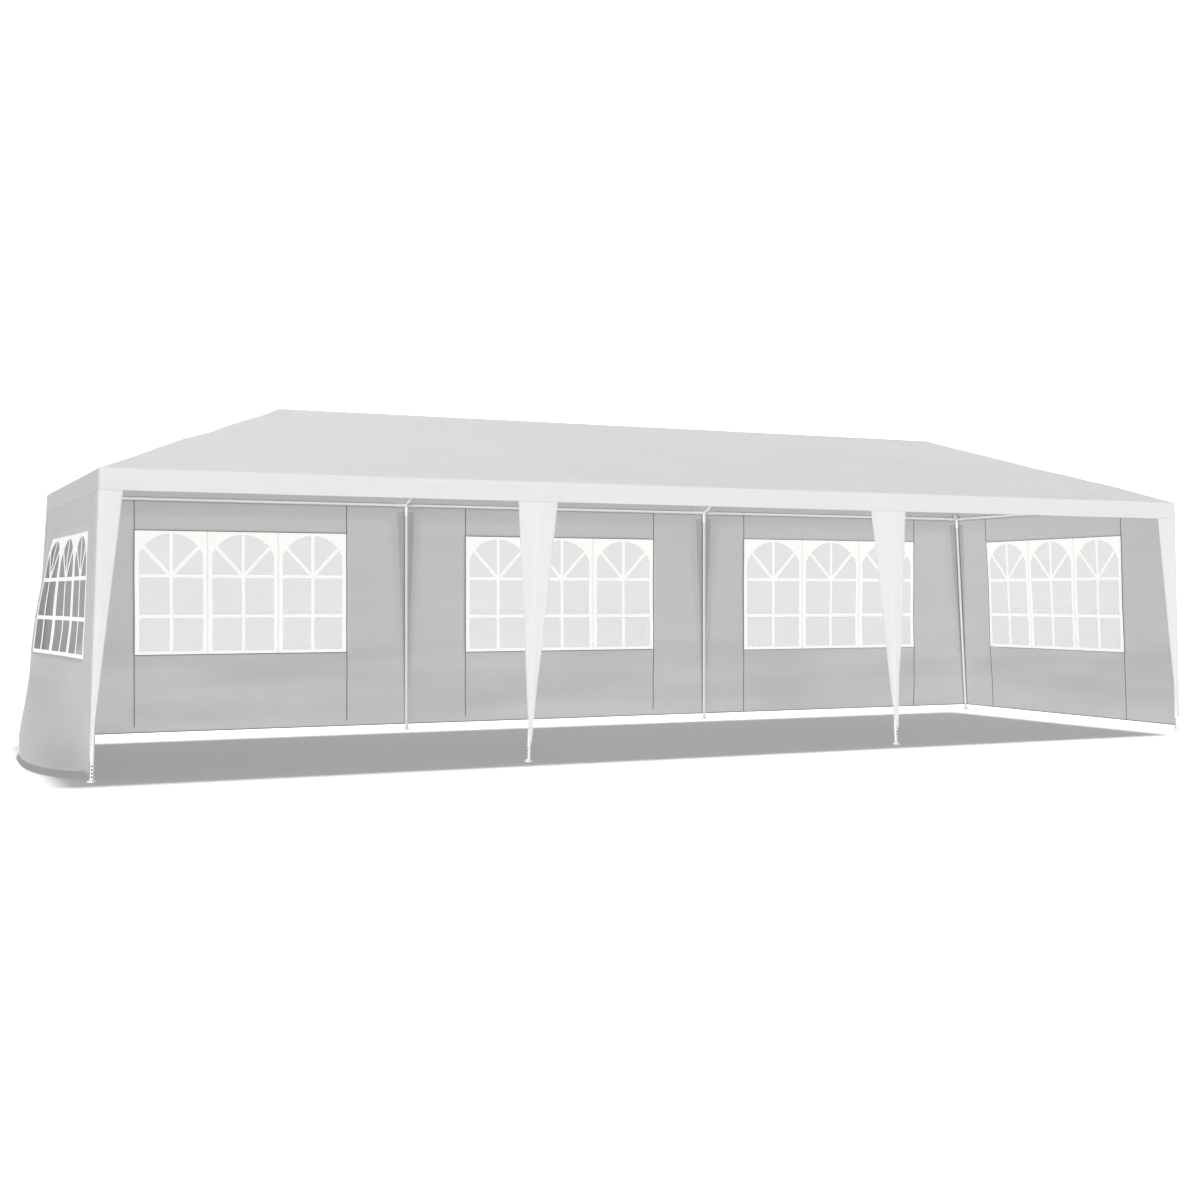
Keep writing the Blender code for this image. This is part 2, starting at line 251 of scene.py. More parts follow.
def plug(tree, socket, value):
    if isinstance(value, bpy.types.NodeSocket):
        tree.links.new(value, socket)
    else:
        socket.default_value = value


def addNode(tree, kind, inputs=None, **settings):
    node = tree.nodes.new(kind)
    for key, value in settings.items():
        setattr(node, key, value)
    for key, value in (inputs or {}).items():
        plug(tree, node.inputs[key], value)
    return node


def calc(tree, operation, *values):
    inputs = dict(enumerate(values))
    return addNode(tree, "ShaderNodeMath", inputs, operation=operation).outputs[0]


def newGroup(name, inputs, outputs):
    group = bpy.data.node_groups.new(name, "ShaderNodeTree")
    for label, value in inputs.items():
        kind = "NodeSocketVector" if value is None else "NodeSocketFloat"
        socket = group.interface.new_socket(label, in_out="INPUT", socket_type=kind)
        if value is not None:
            socket.default_value = value
    for label in outputs:
        group.interface.new_socket(label, in_out="OUTPUT", socket_type="NodeSocketFloat")
    start, end = (group.nodes.new("NodeGroup" + side) for side in ("Input", "Output"))
    return group, start.outputs, end.inputs


def parted(tree, vector):
    return addNode(tree, "ShaderNodeSeparateXYZ", {"Vector": vector}).outputs


def ramp(tree, value, low, high, start, end, kind="SMOOTHSTEP"):
    # From start to end, as the value goes from low to high.
    inputs = {"Value": value, "From Min": low, "From Max": high, "To Min": start, "To Max": end}
    return addNode(tree, "ShaderNodeMapRange", inputs, interpolation_type=kind).outputs[0]


def makeWeave():
    # Coated tape weave: the product of two sine waves, one along each thread direction.
    group, given, result = newGroup("coatedWeave", {"Vector": None, "Threads": 180.0}, ["Height"])
    xyz = parted(group, given["Vector"])
    turns = calc(group, "MULTIPLY", given["Threads"], 2 * pi)
    across = calc(group, "SINE", calc(group, "MULTIPLY", xyz["X"], turns))
    along = calc(group, "SINE", calc(group, "MULTIPLY", xyz["Y"], turns))
    height = calc(group, "MULTIPLY_ADD", calc(group, "MULTIPLY", across, along), 0.5, 0.5)
    group.links.new(height, result["Height"])
    return group


def makeHem():
    # From the distance to the hem in X: 1 on the folded band, whose edge is a 1.6 mm slope, and
    # dashes of thread 3.5 mm inside that edge, 64% of every 5.2 mm along it.
    inputs = {"Vector": None, "Width": 0.02}
    group, given, result = newGroup("stitchedHem", inputs, ["Fold", "Thread"])
    xyz = parted(group, given["Vector"])
    beyond = calc(group, "SUBTRACT", xyz["X"], given["Width"])
    fold = calc(group, "SUBTRACT", 0.5, calc(group, "DIVIDE", beyond, 0.0016))
    fold = calc(group, "MAXIMUM", 0.0, calc(group, "MINIMUM", fold, 1.0))
    away = calc(group, "ABSOLUTE", calc(group, "ADD", beyond, 0.0035))
    line = calc(group, "LESS_THAN", away, 0.0006)
    dash = calc(group, "FRACT", calc(group, "DIVIDE", xyz["Y"], 0.0052))
    thread = calc(group, "MULTIPLY", line, calc(group, "LESS_THAN", dash, 0.64))
    group.links.new(fold, result["Fold"])
    group.links.new(thread, result["Thread"])
    return group


def makeTone():
    # A factor near 1: broad clouds of noise, and a quarter as much of fine specks.
    inputs = {"Vector": None, "Scale": 1.5, "Amount": 0.05}
    group, given, result = newGroup("weatheredTone", inputs, ["Tone", "Speck"])
    clouds = []
    for times, detail in ((1.0, 3.0), (23.0, 4.0)):
        size = calc(group, "MULTIPLY", given["Scale"], times)
        looks = {"Vector": given["Vector"], "Scale": size, "Detail": detail, "Roughness": 0.55}
        noise = addNode(group, "ShaderNodeTexNoise", looks)
        clouds.append(calc(group, "SUBTRACT", noise.outputs["Fac"], 0.5))
    tone = calc(group, "MULTIPLY_ADD", clouds[0], given["Amount"], 1.0)
    fine = calc(group, "MULTIPLY", clouds[1], 0.25)
    group.links.new(calc(group, "MULTIPLY_ADD", fine, given["Amount"], tone), result["Tone"])
    group.links.new(clouds[1], result["Speck"])
    return group


weaveGroup, hemGroup, toneGroup = makeWeave(), makeHem(), makeTone()


def useGroup(tree, group, **inputs):
    return addNode(tree, "ShaderNodeGroup", inputs, node_tree=group).outputs


def shade(value):
    # A grey from 0 to 255 as the screen shows it, as a linear value.
    value /= 255
    return value / 12.92 if value <= 0.04045 else ((value + 0.055) / 1.055) ** 2.4


def newMaterial(name, scale, amount, speckle, **sockets):
    # A shader with its plain sockets set, noise for its tone, and roughness that follows the
    # noise's specks.
    made = bpy.data.materials.new(name)
    made.use_nodes = True
    tree = made.node_tree
    shader = tree.nodes["Principled BSDF"]
    for label, value in sockets.items():
        shader.inputs[label.replace("_", " ")].default_value = value
    place = addNode(tree, "ShaderNodeTexCoord").outputs["Object"]
    tone = useGroup(tree, toneGroup, Vector=place, Scale=scale, Amount=amount)
    rough = calc(tree, "MULTIPLY_ADD", tone["Speck"], speckle, sockets["Roughness"])
    tree.links.new(rough, shader.inputs["Roughness"])
    return made, tree, shader, place, tone


def tinted(tree, shader, colour, factor):
    # The base colour: one tint, multiplied by a factor that changes over the surface.
    tone = addNode(tree, "ShaderNodeCombineXYZ", {"X": factor, "Y": factor, "Z": factor})
    inputs = {0: tone.outputs[0], 1: tuple(shade(c) for c in colour)}
    mix = addNode(tree, "ShaderNodeVectorMath", inputs, operation="MULTIPLY")
    tree.links.new(mix.outputs[0], shader.inputs["Base Color"])


def bumped(tree, shader, *layers):
    # Heights in millimetres, added up and turned into one normal.
    total = 0.0
    for height, millimetres in layers:
        total = calc(tree, "MULTIPLY_ADD", height, millimetres, total)
    bump = addNode(tree, "ShaderNodeBump", {"Height": total, "Distance": 0.001})
    tree.links.new(bump.outputs[0], shader.inputs["Normal"])


cloths = {
    "roofCloth": {"colour": (223, 223, 223), "hem": 0.02},
    "stripCloth": {"colour": (227, 227, 227), "hem": 0.009},
    "wallCloth": {"colour": (222, 222, 222), "hem": 0.02},
}
weave = {
    "threads": 180,  # to the metre
    "rough": 0.55,
    "wallShade": 0.2,  # how much painted shade the strips outside put on the wall in front of them
    "creaseShadeStretch": (0.35, 0.35, 2.2),  # painted shade of the walls' creases: noise stretched along the wall
    "creaseShadeLow": 0.38,  # the painted crease shade's strength up to 0.6 m
    "creaseShadeHigh": 0.1,  # and above 1 m
}


def clothMaterial(name, look):
    # Weave, hem and stitching from the two maps; the walls also have the painted shade of the
    # strips outside them and a painted shade of soft creases.
    made, tree, shader, place, tone = newMaterial(
        name, 1.1, 0.05, 0.15, Roughness=weave["rough"], IOR=1.46, Sheen_Weight=0.08,
        Subsurface_Weight=0.6, Subsurface_Scale=0.003, Subsurface_Radius=(1, 1, 1),
    )
    metres, edge = (
        addNode(tree, "ShaderNodeUVMap", uv_map=layer).outputs[0] for layer in ("metres", "hem")
    )
    thread = useGroup(tree, weaveGroup, Vector=metres, Threads=weave["threads"])["Height"]
    hem = useGroup(tree, hemGroup, Vector=edge, Width=look["hem"])
    factor = tone["Tone"]
    for value, amount in ((thread, 0.012), (hem["Fold"], 0.015), (hem["Thread"], -0.06)):
        factor = calc(tree, "MULTIPLY_ADD", value, amount, factor)
    if name == "wallCloth":
        # painted shade: the wall is darkened in a band where a strip hangs outside it
        given = addNode(tree, "ShaderNodeAttribute", attribute_name="stripShade").outputs["Fac"]
        band = ramp(tree, given, -0.012, 0.012, 0.0, weave["wallShade"])
        factor = calc(tree, "SUBTRACT", factor, band)
        # painted shade of soft creases: noise that darkens and lightens the wall, stronger low down
        inputs = {0: place, 1: weave["creaseShadeStretch"]}
        creaseShadeStretch = addNode(tree, "ShaderNodeVectorMath", inputs, operation="MULTIPLY").outputs[0]
        soft = addNode(tree, "ShaderNodeTexNoise", {"Vector": creaseShadeStretch, "Scale": 1.7, "Detail": 1.5})
        height = parted(tree, place)["Z"]
        depth = ramp(tree, height, 0.6, 1.0, weave["creaseShadeLow"], weave["creaseShadeHigh"])
        crease = calc(tree, "SUBTRACT", soft.outputs["Fac"], 0.57)
        factor = calc(tree, "MULTIPLY_ADD", crease, depth, factor)
    tinted(tree, shader, look["colour"], factor)
    bumped(tree, shader, (thread, 0.035), (hem["Fold"], 0.35), (hem["Thread"], 0.25),
           (tone["Speck"], 0.1))
    return made


def steelMaterial(name, colour, dust):
    # Powder coat: fine orange peel, faint specks, and dust that fades out above the ground.
    made, tree, shader, place, tone = newMaterial(
        name, 6.0, 0.03, 0.2, Roughness=0.34, IOR=1.5, Coat_Weight=0.15
    )
    low = ramp(tree, parted(tree, place)["Z"], 0.0, 0.12, dust, 0.0, "LINEAR")
    tinted(tree, shader, colour, calc(tree, "SUBTRACT", tone["Tone"], low))
    peel = addNode(tree, "ShaderNodeTexNoise", {"Vector": place, "Scale": 900.0, "Detail": 1.0})
    bumped(tree, shader, (peel.outputs["Fac"], 0.02), (tone["Speck"], 0.05))
    return made


def plainMaterial(name, colour, rough, amount=0.05, **sockets):
    # One tint with faint clouds, specks and a roughness of its own.
    made, tree, shader, _, tone = newMaterial(
        name, 5.0, amount, 0.12, Roughness=rough, **sockets
    )
    tinted(tree, shader, colour, tone["Tone"])
    bumped(tree, shader, (tone["Speck"], 0.12))
    return made


# painted light: a faint glow on the window print, standing in for light shining through it from
# behind
printPaintedGlow = {"Emission_Color": (1, 1, 0.98, 1), "Emission_Strength": 0.13}
made = [clothMaterial(name, look) for name, look in cloths.items()]
made += [
    steelMaterial("legSteel", (245, 246, 247), 0.02),
    steelMaterial("railSteel", (236, 236, 237), 0.0),
    steelMaterial("jointSteel", (238, 238, 239), 0.0),
    plainMaterial("bareSteel", (74, 75, 78), 0.7),
    plainMaterial("clearFilm", (140, 141, 142), 0.12, IOR=1.5, Alpha=0.29),
    plainMaterial("windowPrint", (250, 250, 246), 0.4, **printPaintedGlow),
    # dark seam tape, which also paints the seams' shade lines
    plainMaterial("seamTape", (88, 89, 92), 0.7),
]
finishes = {material.name: material for material in made}
print("materials made")

# The cover: roof and valance in one sheet of four sides, from the ridge out to the hem.
cover = {
    "thickness": 0.0012,
    "eaveRounding": 0.014,
    "cornerRounding": 0.012,
    "valance": 0.138,
    "roofRows": 40,
    "foldRows": 7,
    "valanceRows": 24,
    "slopeColumns": 190,
    "endColumns": 66,
    "sag": 0.016,
    "endSag": 0.012,
    "pucker": 0.0035,
    "puckerLength": 0.085,
    "puckerReach": 0.045,
    "wrinkle": 0.0012,
    "wrinkleLength": 0.42,
    "drift": 0.006,  # slow waves over the slopes
    "driftLength": 1.3,
    "flutter": 0.003,
    "flutterLength": 0.8,
    "crease": 0.0016,
    "creaseLength": 0.034,
    "stand": 0.0198,  # from the axes of the ridge and rafters to the roof's outer face
}
coverReach = halfWidth + tent["skirtOut"]
coverPeak = ridgeZ + cover["stand"] * slant


def coverSection():
    # Half a section through the sheet: down the slope, round the eave, and down the valance.
    radius, slope = cover["eaveRounding"], tent["slope"]
    middle = coverPeak - slope * (coverReach - radius) - radius * slant
    turn = np.linspace(atan2(1, slope), 0, cover["foldRows"])
    foldOut = coverReach - radius + radius * np.cos(turn)
    slopeOut = np.linspace(0, foldOut[0], cover["roofRows"])[:-1]
    fallUp = np.linspace(middle, tent["valanceBottom"], cover["valanceRows"])[1:]
    out = np.concatenate([slopeOut, foldOut, np.full(len(fallUp), coverReach)])
    up = np.concatenate([coverPeak - slope * slopeOut, middle + radius * np.sin(turn), fallUp])
    run = np.concatenate([[0], np.cumsum(np.hypot(np.diff(out), np.diff(up)))])
    return out[:, None], up[:, None], run[:, None], len(slopeOut)


def sideColumns(count, half):
    # Positions from -1 to 1 along a side, closer together by the corners.
    near = np.array([0.02, 0.045, 0.08]) / half
    return np.concatenate(
        [[-1], -1 + near[:2], np.linspace(-1 + near[2], 1 - near[2], count), 1 - near[1::-1], [1]]
    )


def roofSag(x, y, out):
    # Each panel hangs between its tubes: a half wave across and a low half wave down the slope.
    reach = np.maximum(out, 1e-4)
    share = np.clip(out / coverReach, 0, 1)
    down = np.sin(pi * share**1.2)
    onEnd = np.abs(x) - ridgeHalf > np.abs(y) - 1e-6
    inner = np.clip((np.abs(x) - halfBay) / (halfBay + out), 0, 1)
    middle = np.cos(pi * np.clip(x / tent["bay"], -0.5, 0.5))
    across = np.where(np.abs(x) < halfBay, middle, np.sin(pi * inner))
    endways = np.cos(pi / 2 * np.clip(y / reach, -1, 1))
    deep = np.where(onEnd, cover["endSag"] * endways, cover["sag"] * across)
    return deep * down


def hipPucker(x, y, out, seed):
    # Small gathers along the hip seams, which die away within a hand's width.
    away = np.abs(np.abs(x) - ridgeHalf - np.abs(y)) / sqrt(2)
    along = out * (1 + 0.15 * ripple(out, 0 * out, seed, 0.5, 3))
    wave = 0.5 - 0.5 * np.cos(2 * pi * along / cover["puckerLength"])
    return cover["pucker"] * wave * np.exp(-away / cover["puckerReach"]) * ease(out / 0.3)


def valanceRelief(along, below, corner, seed):
    # Outwards from the plumb skirt: slow flutter that grows downwards, with fine level creases.
    grow = (below / cover["valance"]).clip(0, 1)
    slow = ripple(along, 0.3 * below, seed, cover["flutterLength"], 5)
    fine = ripple(along * 0.12, below, seed + 1, cover["creaseLength"], 5)
    spots = ease(0.5 + ripple(along, 0 * below, seed + 2, 1.9, 3))
    relief = cover["flutter"] * (0.6 + 0.5 * slow) * grow
    relief = relief + cover["crease"] * fine * spots * np.sin(pi * grow.clip(0.02, 0.98)) ** 0.5
    return np.maximum(relief, -0.0008) * ease(corner / 0.12)


def coverSide(name, seed):
    # One side of the sheet on a grid, as points and its two maps in metres.
    out, up, run, slopeRows = coverSection()
    falling = np.maximum(0, drop(up)) * (out >= coverReach - 1e-6)
    sign, isLong = {**rowSigns, **sideSigns}[name], name in rowSigns
    if isLong:
        u = sideColumns(cover["slopeColumns"], halfLength)
        along, away = u * (ridgeHalf + out + endLean(sign * halfWidth) * falling), out
    else:
        along = sideColumns(cover["endColumns"], halfWidth) * out
        away = ridgeHalf + out + endLean(along) * falling
    # the corners of each level are rounded: both sides end on the middle of the same arc
    radius = np.minimum(cover["cornerRounding"], out * 0.3)
    toCorner = np.abs(along[:, -1:]) - np.abs(along)
    bend = np.clip(1 - toCorner / (2.2 * radius + 1e-9), 0, 1)
    inset = radius * (1 - 1 / sqrt(2)) * bend**2
    along = np.sign(along) * (np.abs(along) - inset)
    away = away - inset
    onSlope = np.arange(len(out))[:, None] < slopeRows
    x, y = (along, sign * away) if isLong else (sign * away, along)
    fade = ease(out / 0.15) * ease((coverReach - out) / 0.12)
    fine = cover["wrinkle"] * ripple(x, y * 1.6, 11, cover["wrinkleLength"], 9)
    slow = cover["drift"] * ripple(x, y * 2.2, 17, cover["driftLength"])
    sag = roofSag(x, y, out) + hipPucker(x, y, out, 5) + (fine + slow) * fade
    z = up + np.where(onSlope, tent["slope"] * inset - sag, 0)
    relief = valanceRelief(along, up[slopeRows] - up, toCorner, seed)
    away = away + np.where(onSlope, 0, relief)
    x, y = (along, sign * away) if isLong else (sign * away, along)
    points = stacked(x, y, z)
    faces = gridFaces(*points.shape[:2])
    if name in ("front", "right"):
        faces = faces[:, ::-1]
    return points, faces, stacked(along, run), stacked(run[-1] - run, along)


def makeCover():
    # The four sides, welded along the hips and the ridge.
    sides = [coverSide(name, 30 + 7 * k) for k, name in enumerate((*rowSigns, *sideSigns))]
    maps = [np.vstack([side[k].reshape(-1, 2) for side in sides]) for k in (2, 3)]
    mesh = putMesh("tentCover", [side[:2] for side in sides], dict(zip(("metres", "hem"), maps)))
    mend(mesh, weld)
    nodes = [f"{part}_{side}" for part in ("roof", "valance") for side in (*rowSigns, *sideSigns)]
    piece = addPiece("tentCover", mesh, finishes["roofCloth"], "roof_cloth", nodes)
    thicken(piece, cover["thickness"], -1)
    return piece


tentCover = makeCover()
print("cover made")

# A tapered strip hangs from the valance down each leg; at a corner it is folded round the leg.
strips = {
    "thickness": 0.0011,
    "out": 0.0231,  # from the leg's axis to the strip's outer face
    "tipZ": 0.13,
    "tuck": 0.014,  # how far its top reaches up behind the valance
    "halfTops": {"left": 0.13, "mid_left": 0.153, "mid_right": 0.165, "right": 0.18},
    "halfTips": {"left": -0.018, "mid_left": 0.008, "mid_right": 0.012, "right": 0.014},
    "rows": 60,
    "columns": 25,
    "fold": 0.0042,
    "cornerRadius": 0.011,
}


def stripHalf(headName, z):
    # Half a strip's width, beside the leg's axis; under 0 it stops short of the axis.
    share = (z - strips["tipZ"]) / (tent["valanceBottom"] - strips["tipZ"])
    tip = strips["halfTips"][headName]
    return tip + (strips["halfTops"][headName] - tip) * share


def stripFolds(u, t, seed):
    # Soft folds that run down the strip and draw together at its tip.
    wander = 0.25 * np.sin(2 * pi * (0.7 * t + seed * 0.37))
    waves = np.sin(2 * pi * (1.15 * u + wander) + seed) + 0.5 * np.sin(2 * pi * (2.3 * u - wander))
    return strips["fold"] * (0.35 + 0.4 * waves) * np.sin(pi * np.clip(t, 0.02, 1)) ** 0.7


def makeStrip(place):
    # A grid with t down the strip and u across it. By a middle leg it is nearly flat, and curls
    # round the leg lower down where no wall is between them. At a corner it goes round a quarter
    # circle, with a wing along the row and one along the end.
    rowName, headName = place.split("_", 1)
    row, side = rowSigns[rowName], sideSigns.get(headName)
    out, bend = strips["out"], strips["cornerRadius"]
    t = np.linspace(0, 1, strips["rows"])[:, None]
    u = np.linspace(-1, 1, strips["columns"])
    top = tent["valanceBottom"] + strips["tuck"]
    z = top + (strips["tipZ"] - top) * t
    half, axis = stripHalf(headName, z), legX(place, z)
    folds = stripFolds(u, t, len(place) + sum(map(ord, place)) % 7)
    if side is None:
        run = u * half
        curl = ease((t - 0.55) / 0.45) * run**2 / (3 * out) if row < 0 else 0
        x, y = axis + run, row * (halfWidth + out - curl + folds)
    else:
        arc = bend * pi / 2
        run = u * (out + half - bend + arc / 2)
        turn = np.clip(run / (arc / 2), -1, 1) * pi / 4 + pi / 4
        past = np.maximum(0, np.abs(run) - arc / 2)
        folds = folds * ease((np.abs(run) - arc) / 0.02)
        inX = np.where(run < 0, past, 0) + bend * (1 - np.sin(turn)) - np.where(run > 0, folds, 0)
        inY = np.where(run > 0, past, 0) + bend * (1 - np.cos(turn)) - np.where(run < 0, folds, 0)
        y = row * (halfWidth + out - inY)
        lean = endLean(y) - endLean(row * halfWidth)
        x = axis + side * (out - inX + lean * drop(z))
    edge = np.abs(run[:, -1:]) - np.abs(run)
    maps = {"metres": stacked(run, z), "hem": stacked(edge, z)}
    looks = (finishes["stripCloth"], "skirt_cloth")
    return sheetPiece("strip_" + place, stacked(x, y, z), maps, strips["thickness"], *looks)


stripPieces = {place: makeStrip(place) for place in feet}
print("strips made")

# Walls: cloth panels outside the rear legs and the ends, each with a rectangle left out.
walls = {
    "thickness": 0.0012,
    "middle": 0.00125,  # from wallIn out to the middle of the cloth, the film and the print
    "cell": 0.03,
    "rows": (1, 20, 36, 7, 1, 2),  # hem, to the sill, beside the window, and above it
    "step": 0.03,  # between the points of a bar or seam on the wall
    "hem": 0.02,
    "billow": 0.005,
    "billowLength": 1.3,
    "crease": 0.0035,
    "creaseLength": 0.4,
    "hemShadeLine": 0.006,  # a dark line along the foot of the walls: painted shade under the hem
    "shadeHalf": 0.083,  # how wide of a leg the painted shade of the strip outside reaches on the wall, at shadeTop
    "shadeTop": 1.922,
    "shadeLow": 0.25,
    "bulge": 0.289,  # how far the left wall hangs out at its hem
    "bulgeTop": 1.83,
    "bulgeReach": 1.3,
    "bulgeSkews": (2.54, 0.69),  # below the eave and at the hem; over 1 is behind the middle
}
windowSizes = {  # middle along the wall, width, bottom and top
    "rear_left": (-2.94, 1.80, 0.695, 1.725),
    "rear_middle": (0.01, 1.90, 0.68, 1.72),
    "rear_right": (2.96, 2.02, 0.66, 1.74),
    "left": (-0.23, 1.72, 0.765, 1.61),
    "right": (0.10, 1.92, 0.67, 1.73),
}
window = {
    "panes": 3,
    "gap": 0.009,  # clear line between two panes
    "border": 0.0345,
    "bottomBorder": 0.026,
    "bar": 0.027,
    "archDrop": 0.022,  # from the window's top edge to the arch's crown
    "archShare": 0.965,  # the arch's radius as a share of half a pane
    "hubShare": 0.635,  # the two level bars, as shares of the window's height
    "lowerShare": 0.308,
    "ray": 47.0,  # degrees above the hub's bar
    "uprightTuck": 0.006,  # where the upright ends above the sill, and past the arch
    "rayTuck": 0.008,
    "filmThickness": 0.0004,
    "filmLap": 0.006,
    "printThickness": 0.0016,
    "seam": 0.0065,
    "seamDepths": (-0.0004, 0.0006),  # its two faces, from wallIn
    "seamTop": 0.012,  # below the cloth's top
    # the width of the lines over and under a window, and how low the seams beside it reach
    "heavyLines": (0.005, 0.1),
    "fineLines": (0.003, 0.058),
    "lineOver": 0.003,
    "lineUnder": 0.002,
}


def billow(p, z, seed, legs):
    # How far a wall swells: slow waves, and below the windows long creases that run nearly
    # level, all held flat at the legs and under the eave.
    nearest = np.min([np.abs(p - leg) for leg in legs], axis=0)
    held = ease((nearest - 0.04) / 0.4) * ease((1.84 - z) / 0.5)
    creases = ripple(p * 0.16, z, seed + 3, walls["creaseLength"], 6)
    creases *= 0.2 + 0.8 * ease((0.78 - z) / 0.2)
    waves = ripple(p, z * 1.7, seed, walls["billowLength"], 6)
    return (walls["billow"] * waves + walls["crease"] * creases) * held


def rearWall(p, z, depth):
    # The point at p along the wall and at height z, so far outside the wall's inner face.
    swell = billow(p, z, 61, [legX(f"rear_{head}", z) for head in heads])
    return stacked(p, halfWidth + tent["wallIn"] + depth + swell, z)


def looseBulge(p, z):
    # The left wall hangs free below the valance: half a sine along it, which grows downwards
    # and whose crown lies towards the rear below the eave and towards the front at the hem.
    reach, (topSkew, hemSkew) = walls["bulgeReach"], walls["bulgeSkews"]
    share = np.clip((p + reach) / (2 * reach), 0, 1)
    down = np.clip((walls["bulgeTop"] - z) / (walls["bulgeTop"] - tent["wallBottom"]), 0, 1)
    skew = topSkew + (hemSkew - topSkew) * down**3.5
    fall = (0.64 * down**0.65 + 0.32 * down**7) * ease(0.15 + 4 * down)
    return walls["bulge"] * np.sin(pi * share**skew) * fall


def endWall(side, seed):
    # The same for an end's wall, which leans out with the legs.
    def place(p, z, depth):
        swell = billow(p, z, seed, [-halfWidth, halfWidth])
        if side < 0:
            swell = swell + looseBulge(p, z)
        x = side * (halfLength + tent["wallIn"] + depth + endLean(p) * drop(z) + swell)
        return stacked(x, p, z)

    return place


def between(stops, counts):
    # Columns that divide the space between neighbouring stops, which may move with the row.
    parts = []
    for left, right, count in zip(stops, stops[1:], counts):
        share = np.linspace(0, 1, count, endpoint=False)
        parts.append(left + (right - left) * share)
    return np.hstack([*parts, stops[-1]])


def makeWall(name, place, left, right, shadeLegs):
    # A grid of cloth cells on the wall's surface, without those of the window.
    centre, wide, bottom, head = windowSizes[name]
    near, far = centre - wide / 2, centre + wide / 2
    foot, top = tent["wallBottom"], walls["shadeTop"]
    levels = (foot, foot + walls["hem"], bottom, head, top, top + 0.015, tent["clothTop"])
    z = between([np.full((1, 1), level) for level in levels], walls["rows"]).T
    edges = [left(z), np.full_like(z, near), np.full_like(z, far), right(z)]
    gaps = [float(b[0, 0] - a[0, 0]) for a, b in zip(edges, edges[1:])]
    spans = [max(2, round(abs(gap) / walls["cell"])) for gap in gaps]
    p = between(edges, spans)
    rowLow = (z[:-1, 0] > bottom - 1e-6) & (z[1:, 0] < head + 1e-6)
    inside = np.zeros(p.shape[1] - 1, bool)
    inside[spans[0]:spans[0] + spans[1]] = True
    edge = np.minimum(z - foot, np.minimum(p - edges[0], edges[3] - p))
    maps = {"metres": stacked(p, z), "hem": stacked(edge, p + z)}
    looks = (finishes["wallCloth"], "wall_cloth", [f"wall_{name}"])
    piece = sheetPiece("wallCloth_" + name, place(p, z, walls["middle"]), maps,
                       walls["thickness"], *looks, keep=~(rowLow[:, None] & inside))
    # how far inside a strip's edge each point is, where the strip hangs behind the wall: this
    # carries the strip's painted shade on the wall
    half = walls["shadeHalf"] * (z - walls["shadeLow"]) / (top - walls["shadeLow"])
    shaded = np.max([half - np.abs(p - leg(z)) for leg in shadeLegs], axis=0)
    shaded = np.where(z > top + 0.001, -0.05, shaded)
    data = piece.data.attributes.new("stripShade", "FLOAT", "POINT")
    data.data.foreach_set("value", shaded.ravel())
    mend(piece.data, looseEnds)
    width = (edges[3] - edges[0])[:, 0]
    area = float(((width[1:] + width[:-1]) / 2 * np.diff(z[:, 0])).sum())
    return piece, area - wide * (head - bottom), float(width.max())


def stepsOver(length):
    # How many points a line on the wall takes, so that it follows the cloth's swell.
    return max(3, round(length / walls["step"]) + 1)


def bar(place, start, end, width, low, high):
    # A flat bar on the wall's surface between two of its points, with a face on both sides.
    start, end = np.asarray(start, float), np.asarray(end, float)
    length = np.linalg.norm(end - start)
    line = start + (end - start) * np.linspace(0, 1, stepsOver(length))[:, None]
    way = (end - start) / length
    side = np.array([-way[1], way[0]]) * width / 2
    corners = [(side, low), (side, high), (-side, high), (-side, low)]
    rings = [place(*(line + shift).T, depth) for shift, depth in corners]
    return ringBody(np.stack(rings, axis=1))


def paneFrame(place, centre, bottom, top, half, radius, archZ, low, high):
    # The printed border of one pane: between its rectangle and an opening with a round head.
    a = half - window["border"]
    spring = archZ + sqrt(radius**2 - a**2)
    first, turn = atan2(spring - archZ, a), atan2(top - archZ, half)
    angles = np.concatenate(
        [np.linspace(first, turn, 7)[1:], np.linspace(turn, pi - turn, 20)[1:],
         np.linspace(pi - turn, pi - first, 7)[1:-1]]
    )
    c, s = np.cos(angles), np.sin(angles)
    sill = bottom + window["bottomBorder"]
    rise = np.linspace(sill, spring, stepsOver(spring - sill))
    level = np.linspace(-1, 1, stepsOver(2 * half))
    # an outline: along the foot, up the right, over the head by its distance from the arch's
    # middle, and down the left
    reach = np.minimum(half / np.maximum(np.abs(c), 1e-9), (top - archZ) / s)
    inner, outer = (
        np.vstack([stacked(side * level, foot), stacked(side, rise[1:]),
                   stacked(spoke * c, archZ + spoke * s), stacked(-side, rise[:0:-1])])
        for side, foot, spoke in ((a, sill, radius), (half, bottom, reach))
    )
    outlines = [inner + (outer - inner) * share for share in (0, 0.33, 0.67, 1)]
    loops = [(line, low) for line in outlines] + [(line, high) for line in outlines[::-1]]
    rings = np.stack([place(centre + l[:, 0], l[:, 1], d) for l, d in loops], axis=1)
    # the corner numbers wrap round, so that the last ring meets the first again
    points = rings.reshape(-1, 3)
    cells = gridFaces(len(inner) + 1, len(loops), closed=True) % len(points)
    return points, turnedOut(points, cells, cells.tolist())


